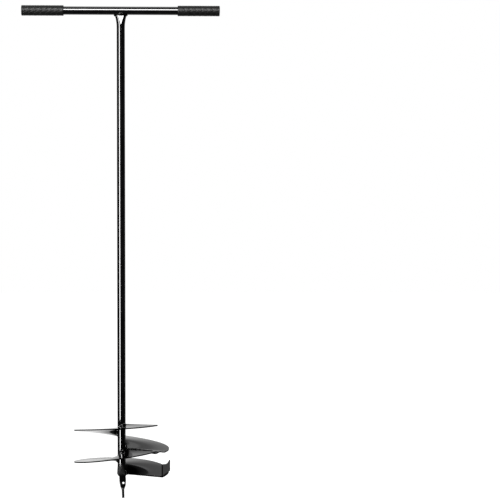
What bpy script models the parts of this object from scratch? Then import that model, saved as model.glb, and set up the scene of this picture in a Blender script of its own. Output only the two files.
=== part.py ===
"""Hand earth auger with a T-handle: a welded assembly of tubes, helical sheet flights and a point.

Units are metres. +Z runs up the shaft, +X along the handle, and -Y is the front.
The origin is where the handle's axis crosses the shaft's axis.
An azimuth is measured from the front (-Y) towards +X. The flights wind down in a right-handed
screw, so their azimuth falls as the turn grows.
"""

import math

import bmesh
import bpy
from mathutils import Vector

# Fits and stock sizes
GAP = 0.0003
TUBE_RADIUS = 0.0086
TUBE_WALL = 0.0015
SHEET = 0.0025
FACE_GAP = 2 * GAP

# Handle and grips
HANDLE_LENGTH = 0.4170
GRIP_LENGTH = 0.0885
GRIP_RADIUS = 0.0109
GRIP_END_WALL = 0.0030
GRIP_ROUND = 0.0012
GRIP_COLLAR = 0.0030
GRIP_COLLAR_DEPTH = 0.0004

# Shaft: the round tube is pressed at both ends
SHAFT_BOTTOM = -0.9750
TOP_PRESS_START = -0.0370
TOP_HALF_WIDTH = 0.0128
TOP_FLARE = 2.2
TOP_FACET_START = -0.0258
TOP_FACET_SLOPE = 0.12
SADDLE_DROP = 0.0015
FOOT_PRESS_START = -0.9520
FOOT_HALF_WIDTH = 0.0096
FOOT_HALF_DEPTH = 0.0064
FOOT_FLATTENING = 0.7
PRESS_SHARPNESS = 24
PRESS_CLEAR = 1.5

# Flights
FLIGHT_RADIUS = 0.1000
TOP_END_AZIMUTH = math.radians(48.0)
UPPER_TURN = math.radians(362.5)
LOWER_TURN = math.radians(347.8)
HUB_TOP = -0.8699
HUB_SEAM = -0.9218
HUB_BOTTOM = -0.9738
RIM_TOP = -0.8649
RIM_LOW = -0.9242
RIM_SEAM = -0.9188
RIM_BOTTOM = -0.9735
UPPER_HUB_WAVE = 0.03
UPPER_HUB_GROWTH = 1.15
LOWER_HUB_WAVE = -0.06
RIM_WAVE = 0.12
RISE_TURN = math.radians(20.0)
LOWER_DIP = 0.0085
DIP_TURN = math.radians(270.0)

# Seam of the two flights: butted near the shaft, lapped at the rim
LAP_TURN = math.radians(1.5)
LAP_START = 0.70
STEP_START = 0.55
STEP_TURN = math.radians(8.0)
SEAM_STEP = 0.0033
RADIAL_STATIONS = (0.0, 0.04, 0.11, 0.21, 0.36, STEP_START, LAP_START, 0.85, 1.0)

# Side cutter; SAG_PEAK is the greatest value of share ** 2 * (1 - share)
CUTTER_HEIGHT = 0.0242
CUTTER_TAIL_HEIGHT = 0.0225
CUTTER_SAG = 0.0042
SAG_PEAK = 4 / 27
CUTTER_TURN = math.radians(28.5)
CUTTER_EDGE_INSET = math.radians(0.4)
CUTTER_TAIL_OUT = 0.0022
CUTTER_GRIND = 0.0006

# Point; its outline is (height, half width) down the bar
POINT_TOP = -0.9570
POINT_BOTTOM = -1.0253
POINT_THICKNESS = 0.0050
POINT_OUTLINE = (
    (POINT_TOP, 0.0058),
    (-0.9770, 0.0058),
    (-0.9800, 0.0070),
    (-0.9890, 0.0070),
    (-0.9965, 0.0062),
    (-1.0035, 0.0042),
    (-1.0200, 0.0036),
    (POINT_BOTTOM, 0.0018),
)
TWIST_START = -0.9950
TWIST_END = -1.0100
POINT_LEAN = 0.0032
POINT_LEAN_GROWTH = 0.6
HOLE_RADIUS = 0.0025
HOLE_HEIGHT = -0.9939
HOLE_OFFSET = 0.0012

# Welds; a fillet's shape is (outward, away from the sheet or handle) in bead sizes
HUB_BEAD = 0.0032
HUB_BEAD_SHAPE = ((0.0, 0.0), (1.0, 0.0), (0.72, 0.62), (0.3, 1.1), (0.0, 1.5))
END_MARGIN = math.radians(4.0)
SEAM_MARGIN = math.radians(16.0)
SEAM_BEAD_WIDTH = 0.0030
SEAM_BEAD_HEIGHT = 0.0016
SEAM_BEAD_START = 0.03
SEAM_BEAD_END = 0.90
SEAM_SHOULDER_PLACE = 0.45
SEAM_SHOULDER_HEIGHT = 0.8
CUTTER_BEAD = 0.0030
CUTTER_BEAD_CROWN = 1.15
HANDLE_BEAD = 0.0014
HANDLE_BEAD_SHAPE = ((0.0, 0.0), (1.0, 0.0), (0.7, 0.9), (0.0, 1.6))
POINT_WELD_DEPTH = 0.0045
POINT_WELD_ROUNDING = 0.92
POINT_WELD_LIP = 0.0006
POINT_WELD_INSET = 0.0005

# Mesh resolution
ROUND_SEGMENTS = 48
HOLE_SEGMENTS = 32
TURN_STEP = math.radians(6.0)
FINE_COLUMNS = 6
BEAD_STEP = math.radians(7.5)
SEAM_BEAD_STEPS = 12
CUTTER_STEPS = 8
TOP_RINGS = 10
FOOT_RINGS = 9
TWIST_RINGS = 12
POINT_WELD_STEPS = 6
SLOPE_PROBE = 0.01


def clear_scene():
    """Remove whatever the open file holds."""
    for item in list(bpy.data.objects):
        bpy.data.objects.remove(item, do_unlink=True)


# ---------------------------------------------------------------- materials


def make_material(name, color, roughness, metallic=0.0, coat=0.0):
    """One Principled material."""
    material = bpy.data.materials.new(name)
    material.use_nodes = True
    shader = material.node_tree.nodes["Principled BSDF"]
    shader.inputs["Base Color"].default_value = (*color, 1.0)
    shader.inputs["Roughness"].default_value = roughness
    shader.inputs["Metallic"].default_value = metallic
    shader.inputs["Coat Weight"].default_value = coat
    return material


def black_paint(name):
    """Gloss black stoving paint."""
    return make_material(name, (0.008, 0.008, 0.010), 0.16, coat=0.4)


def weld_paint(name):
    """The same paint over rough weld metal."""
    return make_material(name, (0.010, 0.010, 0.012), 0.30)


def grip_rubber(name):
    """Matt black rubber."""
    return make_material(name, (0.020, 0.020, 0.022), 0.75)


# ---------------------------------------------------------------- mesh helpers


def ease(value):
    """Smooth step from 0 to 1."""
    value = min(max(value, 0.0), 1.0)
    return value * value * (3.0 - 2.0 * value)


def blend(start, end, share):
    """Straight blend between two numbers."""
    return start + (end - start) * share


def make_object(name, mesh_edit, material, sharp_angle=35.0):
    """Turn a finished bmesh into a named, smooth-shaded object with its faces outward."""
    bmesh.ops.recalc_face_normals(mesh_edit, faces=mesh_edit.faces)
    mesh = bpy.data.meshes.new(name)
    mesh_edit.to_mesh(mesh)
    mesh_edit.free()
    mesh.shade_smooth()
    mesh.set_sharp_from_angle(angle=math.radians(sharp_angle))
    mesh.materials.append(material)
    item = bpy.data.objects.new(name, mesh)
    bpy.context.scene.collection.objects.link(item)
    return item


def add_ring(mesh_edit, points):
    """Add one closed ring of vertices."""
    return [mesh_edit.verts.new(point) for point in points]


def join_rings(mesh_edit, first, second):
    """Skin the strip between two closed rings with the same number of vertices."""
    count = len(first)
    for index in range(count):
        after = (index + 1) % count
        mesh_edit.faces.new((first[index], first[after], second[after], second[index]))


def sweep(sections, closed=False):
    """Skin a row of closed sections, capped at both ends or joined end to end."""
    mesh_edit = bmesh.new()
    rings = [add_ring(mesh_edit, section) for section in sections]
    for first, second in zip(rings, rings[1:]):
        join_rings(mesh_edit, first, second)
    if closed:
        join_rings(mesh_edit, rings[-1], rings[0])
    else:
        mesh_edit.faces.new(rings[0])
        mesh_edit.faces.new(rings[-1])
    return mesh_edit


def hollow_sweep(outer_sections, inner_sections):
    """A wall between an outer and an inner row of rings, open at both ends."""
    mesh_edit = bmesh.new()
    outer = [add_ring(mesh_edit, section) for section in outer_sections]
    inner = [add_ring(mesh_edit, section) for section in inner_sections]
    for rings in (outer, inner):
        for first, second in zip(rings, rings[1:]):
            join_rings(mesh_edit, first, second)
    join_rings(mesh_edit, outer[0], inner[0])
    join_rings(mesh_edit, outer[-1], inner[-1])
    return mesh_edit


def thick_sheet(upper_face, lower_face):
    """A sheet body between two grids of points, each a list of columns."""
    mesh_edit = bmesh.new()
    grids = [[add_ring(mesh_edit, column) for column in face] for face in (upper_face, lower_face)]
    columns = len(upper_face)
    rows = len(upper_face[0])
    for grid in grids:
        for col in range(columns - 1):
            for row in range(rows - 1):
                corners = (grid[col][row], grid[col + 1][row])
                mesh_edit.faces.new((*corners, grid[col + 1][row + 1], grid[col][row + 1]))
    top, bottom = grids
    for col in range(columns - 1):
        for row in (0, rows - 1):
            pair = (top[col][row], top[col + 1][row])
            mesh_edit.faces.new((*pair, bottom[col + 1][row], bottom[col][row]))
    for row in range(rows - 1):
        for col in (0, columns - 1):
            pair = (top[col][row], top[col][row + 1])
            mesh_edit.faces.new((*pair, bottom[col][row + 1], bottom[col][row]))
    return mesh_edit


def polar(radius, azimuth, height):
    """A point at a radius and azimuth from the shaft's axis."""
    return Vector((radius * math.sin(azimuth), -radius * math.cos(azimuth), height))


# ---------------------------------------------------------------- handle


def round_ring(x, radius):
    """A ring about the handle's axis."""
    points = []
    for index in range(ROUND_SEGMENTS):
        angle = math.tau * index / ROUND_SEGMENTS
        points.append((x, radius * math.sin(angle), radius * math.cos(angle)))
    return points


def make_handle_tube():
    """The cross tube, open at both ends inside the grips."""
    half = HANDLE_LENGTH / 2 - GRIP_END_WALL - GAP
    outer = [round_ring(x, TUBE_RADIUS) for x in (-half, half)]
    inner = [round_ring(x, TUBE_RADIUS - TUBE_WALL) for x in (-half, half)]
    make_object("handle_tube", hollow_sweep(outer, inner), black_paint("handle_paint"))


def grip_profile():
    """Half-section of a grip as (distance from the closed end, radius), from bore to end."""
    bore = TUBE_RADIUS + GAP
    collar = GRIP_RADIUS - GRIP_COLLAR_DEPTH
    return [
        (GRIP_END_WALL, bore),
        (GRIP_LENGTH, bore),
        (GRIP_LENGTH, collar - GRIP_ROUND / 2),
        (GRIP_LENGTH - GRIP_ROUND / 2, collar),
        (GRIP_LENGTH - GRIP_COLLAR, collar),
        (GRIP_LENGTH - GRIP_COLLAR - GRIP_COLLAR_DEPTH, GRIP_RADIUS),
        (GRIP_ROUND, GRIP_RADIUS),
        (GRIP_ROUND * 0.3, GRIP_RADIUS - GRIP_ROUND * 0.3),
        (0.0, GRIP_RADIUS - GRIP_ROUND),
    ]


def make_grip(name, side):
    """A rubber sleeve with a closed outer end; side is -1 for left and 1 for right."""
    end = side * HANDLE_LENGTH / 2
    rings = [round_ring(end - side * along, radius) for along, radius in grip_profile()]
    make_object(name, sweep(rings), grip_rubber(name + "_rubber"))


# ---------------------------------------------------------------- shaft


def squeeze(value, limit):
    """Flatten a coordinate softly against a pressing face at the limit."""
    share = (abs(value) / limit) ** PRESS_SHARPNESS
    return value / (1.0 + share) ** (1.0 / PRESS_SHARPNESS)


def pressed_point(angle, radius, half_width, half_depth, height):
    """A point of a tube's outline once the tube is pressed between front and back faces."""
    x = half_width * math.sin(angle)
    y = squeeze(-radius * math.cos(angle), half_depth)
    return Vector((x, y, height))


def top_press(height):
    """Half width and half depth of the shaft near its upper end."""
    share = max(0.0, (height - TOP_PRESS_START) / (-TUBE_RADIUS - TOP_PRESS_START))
    half_width = blend(TUBE_RADIUS, TOP_HALF_WIDTH, share ** TOP_FLARE)
    half_depth = TUBE_RADIUS + TOP_FACET_SLOPE * (TOP_FACET_START - height)
    return half_width, half_depth


def foot_press(height):
    """Half width and half depth of the shaft near its lower end."""
    share = max(0.0, (height - FOOT_PRESS_START) / (SHAFT_BOTTOM - FOOT_PRESS_START))
    half_width = blend(TUBE_RADIUS, FOOT_HALF_WIDTH, ease(share))
    half_depth = blend(TUBE_RADIUS * PRESS_CLEAR, FOOT_HALF_DEPTH, share ** FOOT_FLATTENING)
    return half_width, half_depth


def shaft_section(height):
    """Half width and half depth of the shaft's outside at a height."""
    if height > TOP_PRESS_START:
        return top_press(height)
    if height < FOOT_PRESS_START:
        return foot_press(height)
    return TUBE_RADIUS, TUBE_RADIUS * PRESS_CLEAR


def shaft_ring(height, inset):
    """The shaft's outline at a height, moved inward by the inset."""
    half_width, half_depth = shaft_section(height)
    radius = TUBE_RADIUS - inset
    points = []
    for index in range(ROUND_SEGMENTS):
        angle = math.tau * index / ROUND_SEGMENTS
        points.append(pressed_point(angle, radius, half_width - inset, half_depth - inset, height))
    return points


def even_steps(start, end, count):
    """Evenly spaced numbers from the start to the end, both counted."""
    return [blend(start, end, index / (count - 1)) for index in range(count)]


def shaft_heights():
    """Heights of the shaft's rings: close together where it is pressed."""
    top = even_steps(-TUBE_RADIUS - SADDLE_DROP, TOP_PRESS_START, TOP_RINGS)
    return top + even_steps(FOOT_PRESS_START, SHAFT_BOTTOM, FOOT_RINGS)


def under_handle(point, drop=0.0):
    """A point moved to a given drop below the saddle, which follows the handle tube's underside."""
    reach = TUBE_RADIUS + GAP
    return Vector((point.x, point.y, -math.sqrt(reach ** 2 - point.y ** 2) - drop))


def make_shaft_tube():
    """The upright tube, saddled to the handle at the top and cut square at the bottom."""
    walls = []
    for inset in (0.0, TUBE_WALL):
        rings = [shaft_ring(height, inset) for height in shaft_heights()]
        rings.insert(0, [under_handle(point) for point in shaft_ring(-TUBE_RADIUS, inset)])
        walls.append(rings)
    make_object("shaft_tube", hollow_sweep(*walls), black_paint("shaft_paint"))


# ---------------------------------------------------------------- flights


def wave_share(share, wave):
    """Share of a turn's drop: a positive wave makes mid-turn the steepest, a negative one the ends."""
    return share - wave * math.sin(math.tau * share)


def upper_height(turn, across):
    """Mid-surface height of the upper flight; across is 0 at the hub and 1 at the rim."""
    share = max(turn, 0.0) / UPPER_TURN
    hub = blend(HUB_TOP, HUB_SEAM, wave_share(share ** UPPER_HUB_GROWTH, UPPER_HUB_WAVE))
    rim = blend(RIM_TOP, RIM_LOW, wave_share(share, RIM_WAVE))
    rim += (RIM_SEAM - RIM_LOW) * ease((turn - UPPER_TURN + RISE_TURN) / RISE_TURN)
    return blend(hub, rim, across)


def lower_height(turn, across):
    """Mid-surface height of the lower flight."""
    share = max(turn, 0.0) / LOWER_TURN
    hub = blend(HUB_SEAM, HUB_BOTTOM, wave_share(share, LOWER_HUB_WAVE))
    rim = blend(RIM_SEAM, RIM_BOTTOM, share)
    rim -= LOWER_DIP * math.sin(math.pi * min(turn / DIP_TURN, 1.0)) ** 2
    return blend(hub, rim, across)


def lapped_upper_height(turn, across):
    """The upper flight with its outer corner passing under the lower flight's start."""
    height = upper_height(turn, across)
    if turn > UPPER_TURN:
        height = lower_height(turn - UPPER_TURN, across)
    step = ease((turn - UPPER_TURN + STEP_TURN) / STEP_TURN)
    step *= ease((across - STEP_START) / (LAP_START - STEP_START))
    return height - SEAM_STEP * step


def hub_radius(height):
    """Inner radius of a flight, just clear of the shaft."""
    return shaft_section(height)[0] + GAP


def sheet_half(height_at, turn, across, radius):
    """Half of the sheet's vertical thickness, so that it is SHEET thick square to its face."""
    drop = height_at(turn + SLOPE_PROBE, across) - height_at(turn - SLOPE_PROBE, across)
    slope = drop / (2 * SLOPE_PROBE * radius)
    return SHEET / 2 * math.sqrt(1.0 + slope ** 2)


def flight_point(height_at, start_azimuth, turn, across, side):
    """A point on a flight's face: side is 1 for the top, -1 for the underside, 0 for mid-sheet."""
    radius = blend(hub_radius(height_at(turn, 0.0)), FLIGHT_RADIUS, across)
    height = height_at(turn, across) + side * sheet_half(height_at, turn, across, radius)
    return polar(radius, start_azimuth - turn, height)


def flight_turns(start, end):
    """Turns of a flight's columns: even steps, then finer ones over the last stretch."""
    knee = end - STEP_TURN - LAP_TURN
    count = round((knee - start) / TURN_STEP)
    even = [blend(start, knee, index / count) for index in range(count)]
    return even + even_steps(knee, end, FINE_COLUMNS + 1)


def flight_faces(height_at, start_azimuth, start_turn, end_turn):
    """Top and bottom grids of a flight; its ends are turns that may depend on the station."""
    turns = [flight_turns(start_turn(across), end_turn(across)) for across in RADIAL_STATIONS]
    faces = []
    for side in (1, -1):
        columns = []
        for column_turns in zip(*turns):
            pairs = zip(column_turns, RADIAL_STATIONS)
            columns.append([flight_point(height_at, start_azimuth, t, a, side) for t, a in pairs])
        faces.append(columns)
    return faces


def half_gap_turn(across):
    """Half the seam's gap as a turn."""
    return GAP / 2 / blend(TUBE_RADIUS, FLIGHT_RADIUS, across)


def upper_end(across):
    """Turn at which the upper flight ends."""
    lap = LAP_TURN * ease((across - LAP_START) / (1.0 - LAP_START))
    return UPPER_TURN - half_gap_turn(across) + lap


def make_upper_flight():
    """The upper turn of sheet."""
    faces = flight_faces(lapped_upper_height, TOP_END_AZIMUTH, lambda across: 0.0, upper_end)
    make_object("upper_flight", thick_sheet(*faces), black_paint("upper_flight_paint"))


def seam_azimuth():
    """Azimuth of the seam, kept within one turn of the top end."""
    return TOP_END_AZIMUTH - UPPER_TURN


def make_lower_flight():
    """The lower turn of sheet, whose straight far end is the cutting edge."""
    faces = flight_faces(lower_height, seam_azimuth(), half_gap_turn, lambda across: LOWER_TURN)
    make_object("lower_flight", thick_sheet(*faces), black_paint("lower_flight_paint"))


# ---------------------------------------------------------------- side cutter


def cutter_frame():
    """Ends of the cutter's outer foot line, and the outward direction square to it."""
    cutting_azimuth = seam_azimuth() - LOWER_TURN
    start = polar(FLIGHT_RADIUS, cutting_azimuth + CUTTER_EDGE_INSET, 0.0)
    end = polar(FLIGHT_RADIUS + CUTTER_TAIL_OUT, cutting_azimuth + CUTTER_TURN, 0.0)
    along = (end - start).normalized()
    outward = Vector((along.y, -along.x, 0.0))
    return start, end, outward


def foot_height(point):
    """Height of the lower flight's top face under a point, plus the gap."""
    radius = math.hypot(point.x, point.y)
    azimuth = math.atan2(point.x, -point.y)
    turned = (azimuth - seam_azimuth() + LOWER_TURN) % math.tau
    turn = LOWER_TURN - turned
    across = (radius - TUBE_RADIUS - GAP) / (FLIGHT_RADIUS - TUBE_RADIUS - GAP)
    return lower_height(turn, across) + sheet_half(lower_height, turn, across, radius) + GAP


def on_foot(point, lift=0.0):
    """A point lifted above the lower flight's top face."""
    return Vector((point.x, point.y, foot_height(point) + lift))


def cutter_stations():
    """Evenly spaced points along the cutter's outer foot line, and the outward direction."""
    start, end, outward = cutter_frame()
    return [start.lerp(end, index / CUTTER_STEPS) for index in range(CUTTER_STEPS + 1)], outward


def top_sag(share):
    """How far the cutter's top edge hangs below a straight line: most at two thirds, none at its ends."""
    return CUTTER_SAG * share ** 2 * (1.0 - share) / SAG_PEAK


def make_side_cutter():
    """An upright flat plate on the rim: hollow top edge, raised tail, ground leading edge."""
    stations, outward = cutter_stations()
    along = (stations[1] - stations[0]).normalized()
    inner_shift = -SHEET * outward
    tops = [on_foot(stations[0], CUTTER_HEIGHT), on_foot(stations[-1], CUTTER_TAIL_HEIGHT)]
    sections = []
    for index, outer in enumerate(stations):
        share = index / CUTTER_STEPS
        inner = outer + inner_shift
        top = tops[0].lerp(tops[1], share) - Vector((0.0, 0.0, top_sag(share)))
        ground = CUTTER_GRIND * along if index == 0 else Vector()
        sections.append([on_foot(inner), on_foot(outer + ground), top + ground, top + inner_shift])
    make_object("side_cutter", sweep(sections), black_paint("side_cutter_paint"), sharp_angle=20.0)


def make_side_cutter_weld():
    """The bead along the cutter's inner foot."""
    stations, outward = cutter_stations()
    sections = []
    for outer in stations[1:-1]:
        corner = outer - (SHEET + GAP) * outward
        section = [on_foot(corner, GAP)]
        section.append(on_foot(corner, CUTTER_BEAD))
        for share in (1 / 3, 2 / 3):
            size = CUTTER_BEAD * CUTTER_BEAD_CROWN
            section.append(on_foot(corner - outward * size * share, size * (1 - share)))
        section.append(on_foot(corner - outward * CUTTER_BEAD, GAP))
        sections.append(section)
    make_object("side_cutter_weld", sweep(sections), weld_paint("side_cutter_weld_paint"))


# ---------------------------------------------------------------- point


def point_center(height):
    """Sideways place of the bar's centre: it leans a little off the shaft's axis."""
    share = max(0.0, (POINT_TOP - height) / (POINT_TOP - POINT_BOTTOM))
    return POINT_LEAN * share ** POINT_LEAN_GROWTH


def point_half_width(height):
    """Half width of the bar: tang, shoulder, slow taper and blunt end."""
    for (top, top_half), (bottom, bottom_half) in zip(POINT_OUTLINE, POINT_OUTLINE[1:]):
        if height >= bottom:
            return blend(top_half, bottom_half, (top - height) / (top - bottom))
    return POINT_OUTLINE[-1][1]


def point_section(height):
    """The bar's rectangle at a height, turned by the twist."""
    twist = math.radians(90.0) * ease((TWIST_START - height) / (TWIST_START - TWIST_END))
    wide = point_half_width(height)
    thick = POINT_THICKNESS / 2
    along = Vector((math.cos(twist), math.sin(twist), 0.0))
    square = Vector((-math.sin(twist), math.cos(twist), 0.0))
    center = Vector((point_center(height), 0.0, height))
    corners = ((-1, -1), (0, -1), (1, -1), (1, 1), (0, 1), (-1, 1))
    return [center + along * wide * a + square * thick * b for a, b in corners]


def make_hole_cutter():
    """A cylinder through the bar, left out of the model."""
    mesh_edit = bmesh.new()
    size = {"radius1": HOLE_RADIUS, "radius2": HOLE_RADIUS, "depth": POINT_THICKNESS * 3}
    bmesh.ops.create_cone(mesh_edit, cap_ends=True, segments=HOLE_SEGMENTS, **size)
    item = make_object("hole_cutter", mesh_edit, black_paint("hole_paint"))
    item.rotation_euler = (math.radians(90.0), 0.0, 0.0)
    item.location = (point_center(HOLE_HEIGHT) + HOLE_OFFSET, 0.0, HOLE_HEIGHT)
    item.hide_render = True
    item.display_type = "WIRE"
    return item


def make_point_bar():
    """The flat bar: tang, hole, quarter twist and blunt end."""
    heights = {height for height, half_width in POINT_OUTLINE}
    heights.update(even_steps(TWIST_START, TWIST_END, TWIST_RINGS))
    sections = [point_section(height) for height in sorted(heights, reverse=True)]
    item = make_object("point_bar", sweep(sections), black_paint("point_paint"))
    cut = item.modifiers.new("hanging_hole", "BOOLEAN")
    cut.operation = "DIFFERENCE"
    cut.solver = "EXACT"
    cut.object = make_hole_cutter()


def box_point(angle, half_x, half_y, center_x, height):
    """A point on a rectangle's outline in the direction of an angle."""
    x = math.sin(angle)
    y = -math.cos(angle)
    reach = min(half_x / max(abs(x), 1e-9), half_y / max(abs(y), 1e-9))
    return Vector((center_x + x * reach, y * reach, height))


def make_point_weld():
    """The collar of weld metal that closes the shaft's end around the bar."""
    outer = []
    inner = []
    for index in range(POINT_WELD_STEPS + 1):
        share = index / POINT_WELD_STEPS
        height = SHAFT_BOTTOM - GAP - POINT_WELD_DEPTH * share
        center = point_center(height)
        half_x = point_half_width(height) + FACE_GAP
        half_y = POINT_THICKNESS / 2 + FACE_GAP
        bulge = math.sqrt(1.0 - (POINT_WELD_ROUNDING * share) ** 2)
        wide = blend(half_x + POINT_WELD_LIP, FOOT_HALF_WIDTH - POINT_WELD_INSET, bulge)
        deep = blend(half_y + POINT_WELD_LIP, FOOT_HALF_DEPTH - POINT_WELD_INSET, bulge)
        rings = ([], [])
        for spoke in range(ROUND_SEGMENTS):
            angle = math.tau * (spoke + 0.5) / ROUND_SEGMENTS
            rim = pressed_point(angle, TUBE_RADIUS, wide, deep, height)
            rings[0].append(rim + Vector((center * share, 0.0, 0.0)))
            aim = math.atan2(rim.x, -rim.y)
            rings[1].append(box_point(aim, half_x, half_y, center, height))
        outer.append(rings[0])
        inner.append(rings[1])
    make_object("point_weld", hollow_sweep(outer, inner), weld_paint("point_weld_paint"))


# ---------------------------------------------------------------- welds of handle and flights


def make_handle_weld():
    """The fillet bead around the saddle joint of shaft and handle."""
    half_width, half_depth = shaft_section(-TUBE_RADIUS - HANDLE_BEAD / 2)
    sections = []
    for index in range(ROUND_SEGMENTS):
        angle = math.tau * index / ROUND_SEGMENTS
        out = Vector((math.sin(angle), -math.cos(angle), 0.0))
        foot = pressed_point(angle, TUBE_RADIUS, half_width, half_depth, 0.0)
        section = []
        for outward, down in HANDLE_BEAD_SHAPE:
            spot = foot + out * (FACE_GAP + HANDLE_BEAD * outward)
            section.append(under_handle(spot, FACE_GAP + HANDLE_BEAD * down))
        sections.append(section)
    make_object("handle_weld", sweep(sections, closed=True), weld_paint("handle_weld_paint"))


def hub_bead(height_at, start_azimuth, turn, side):
    """Section of the fillet at a flight's hub: side is 1 above the sheet and -1 below it."""
    azimuth = start_azimuth - turn
    hub = hub_radius(height_at(turn, 0.0))
    span = FLIGHT_RADIUS - hub
    section = []
    for outward, away in HUB_BEAD_SHAPE:
        radius = hub + outward * HUB_BEAD
        across = (radius - hub) / span
        face = height_at(turn, across) + side * sheet_half(height_at, turn, across, radius)
        height = face + side * (GAP + away * HUB_BEAD)
        section.append(polar(max(radius, hub_radius(height)), azimuth, height))
    return section


def make_hub_weld(name, height_at, start_azimuth, first_turn, last_turn, side):
    """A bead along a flight's hub between two turns."""
    count = round((last_turn - first_turn) / BEAD_STEP) + 1
    turns = even_steps(first_turn, last_turn, count)
    sections = [hub_bead(height_at, start_azimuth, turn, side) for turn in turns]
    make_object(name, sweep(sections), weld_paint(name + "_paint"))


def make_seam_weld():
    """The bead over the seam of the two flights, from the shaft to the rim."""
    sections = []
    for index in range(SEAM_BEAD_STEPS + 1):
        along = index / SEAM_BEAD_STEPS
        across = blend(SEAM_BEAD_START, SEAM_BEAD_END, along)
        radius = blend(TUBE_RADIUS + GAP, FLIGHT_RADIUS, across)
        half_turn = SEAM_BEAD_WIDTH / 2 / radius
        before = flight_point(lapped_upper_height, TOP_END_AZIMUTH, UPPER_TURN - half_turn, across, 1)
        after = flight_point(lower_height, seam_azimuth(), half_turn, across, 1)
        middle = flight_point(lower_height, seam_azimuth(), 0.0, across, 1)
        crown = Vector((0.0, 0.0, blend(SEAM_BEAD_HEIGHT, SEAM_BEAD_HEIGHT / 2, along)))
        clear = Vector((0.0, 0.0, FACE_GAP))
        shoulder = clear + crown * SEAM_SHOULDER_HEIGHT
        section = [before + clear, middle + clear, after + clear]
        section.append(after.lerp(middle, SEAM_SHOULDER_PLACE) + shoulder)
        section.append(middle + clear + crown)
        section.append(before.lerp(middle, SEAM_SHOULDER_PLACE) + shoulder)
        sections.append(section)
    make_object("seam_weld", sweep(sections), weld_paint("seam_weld_paint"))


def make_flight_welds():
    """Hub beads of both flights, under and over the sheet; the upper ones stop short of the seam."""
    upper = (lapped_upper_height, TOP_END_AZIMUTH)
    lower = (lower_height, seam_azimuth())
    make_hub_weld("upper_flight_weld", *upper, END_MARGIN, UPPER_TURN - END_MARGIN, -1)
    make_hub_weld("lower_flight_weld", *lower, END_MARGIN, LOWER_TURN - END_MARGIN, -1)
    make_hub_weld("upper_flight_top_weld", *upper, END_MARGIN, UPPER_TURN - SEAM_MARGIN, 1)
    make_hub_weld("lower_flight_top_weld", *lower, SEAM_MARGIN, LOWER_TURN - END_MARGIN, 1)


def main():
    clear_scene()
    make_handle_tube()
    make_grip("left_grip", -1)
    make_grip("right_grip", 1)
    make_shaft_tube()
    make_handle_weld()
    make_upper_flight()
    make_lower_flight()
    make_flight_welds()
    make_seam_weld()
    make_side_cutter()
    make_side_cutter_weld()
    make_point_bar()
    make_point_weld()


main()
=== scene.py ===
"""Looks for the hand earth auger: finished meshes, materials, a pale studio and the camera.

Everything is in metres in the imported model's frame: +Z up the shaft, +X along the handle, -Y the
front, the origin where handle and shaft cross. An azimuth is measured from the front towards +X.
"""

import math

import bmesh
import bpy
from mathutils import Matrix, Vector, noise


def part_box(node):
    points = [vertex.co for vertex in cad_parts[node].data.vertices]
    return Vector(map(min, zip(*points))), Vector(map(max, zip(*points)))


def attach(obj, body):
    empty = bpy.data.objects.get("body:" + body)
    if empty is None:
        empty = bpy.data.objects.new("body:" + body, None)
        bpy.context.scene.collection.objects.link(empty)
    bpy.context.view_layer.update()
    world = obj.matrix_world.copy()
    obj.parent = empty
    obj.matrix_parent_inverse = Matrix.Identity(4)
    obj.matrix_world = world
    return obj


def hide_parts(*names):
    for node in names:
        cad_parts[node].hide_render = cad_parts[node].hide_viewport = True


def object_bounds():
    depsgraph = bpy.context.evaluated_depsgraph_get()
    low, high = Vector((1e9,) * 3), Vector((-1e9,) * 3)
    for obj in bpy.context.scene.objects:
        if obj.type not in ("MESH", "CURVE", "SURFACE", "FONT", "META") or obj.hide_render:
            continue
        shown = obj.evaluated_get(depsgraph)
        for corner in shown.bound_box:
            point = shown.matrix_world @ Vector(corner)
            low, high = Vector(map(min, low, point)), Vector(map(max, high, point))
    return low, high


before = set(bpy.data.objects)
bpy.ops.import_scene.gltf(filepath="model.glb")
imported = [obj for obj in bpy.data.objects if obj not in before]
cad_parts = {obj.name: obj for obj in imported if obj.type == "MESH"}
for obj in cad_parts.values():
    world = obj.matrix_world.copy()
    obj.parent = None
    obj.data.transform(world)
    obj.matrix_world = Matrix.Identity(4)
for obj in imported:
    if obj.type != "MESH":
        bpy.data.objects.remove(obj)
cad_low, cad_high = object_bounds()

UPWARD = Vector((0.0, 0.0, 1.0))


# ---------------------------------------------------------------- sizes read from the frame


def box_size(node):
    """Length of a CAD node's box along each axis."""
    low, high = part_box(node)
    return Vector(high) - Vector(low)


TUBE_RADIUS = box_size("handle_tube").z / 2
GRIP_RADIUS = box_size("left_grip").z / 2
GRIP_LENGTH = box_size("left_grip").x
HANDLE_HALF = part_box("right_grip")[1][0]
SHAFT_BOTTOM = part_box("shaft_tube")[0][2]
POINT_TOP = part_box("point_bar")[1][2]
POINT_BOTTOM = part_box("point_bar")[0][2]
FLIGHT_RADIUS = box_size("upper_flight").x / 2

# Stock and fits
SHEET = 0.0025
TUBE_WALL = 0.0015
GAP = 0.0003

# Shaft: a round tube, pressed between front and back faces at both ends. PRESS_CLEAR is a half
# depth, in tube radii, at which those faces leave the tube round.
TOP_PRESS_START = -0.0370
TOP_HALF_WIDTH = 0.0128
TOP_FLARE = 2.2
SADDLE_DROP = 0.0015
TOP_FACET_START = -0.0258
TOP_FACET_SLOPE = 0.12
FOOT_PRESS_START = -0.9520
FOOT_HALF_WIDTH = 0.0096
FOOT_HALF_DEPTH = 0.0064
FOOT_PRESS_GROWTH = 0.7
PRESS_SHARPNESS = 24
PRESS_CLEAR = 1.5
SADDLE_GAP = 0.0001
SHAFT_EDGE = 0.0003

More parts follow.
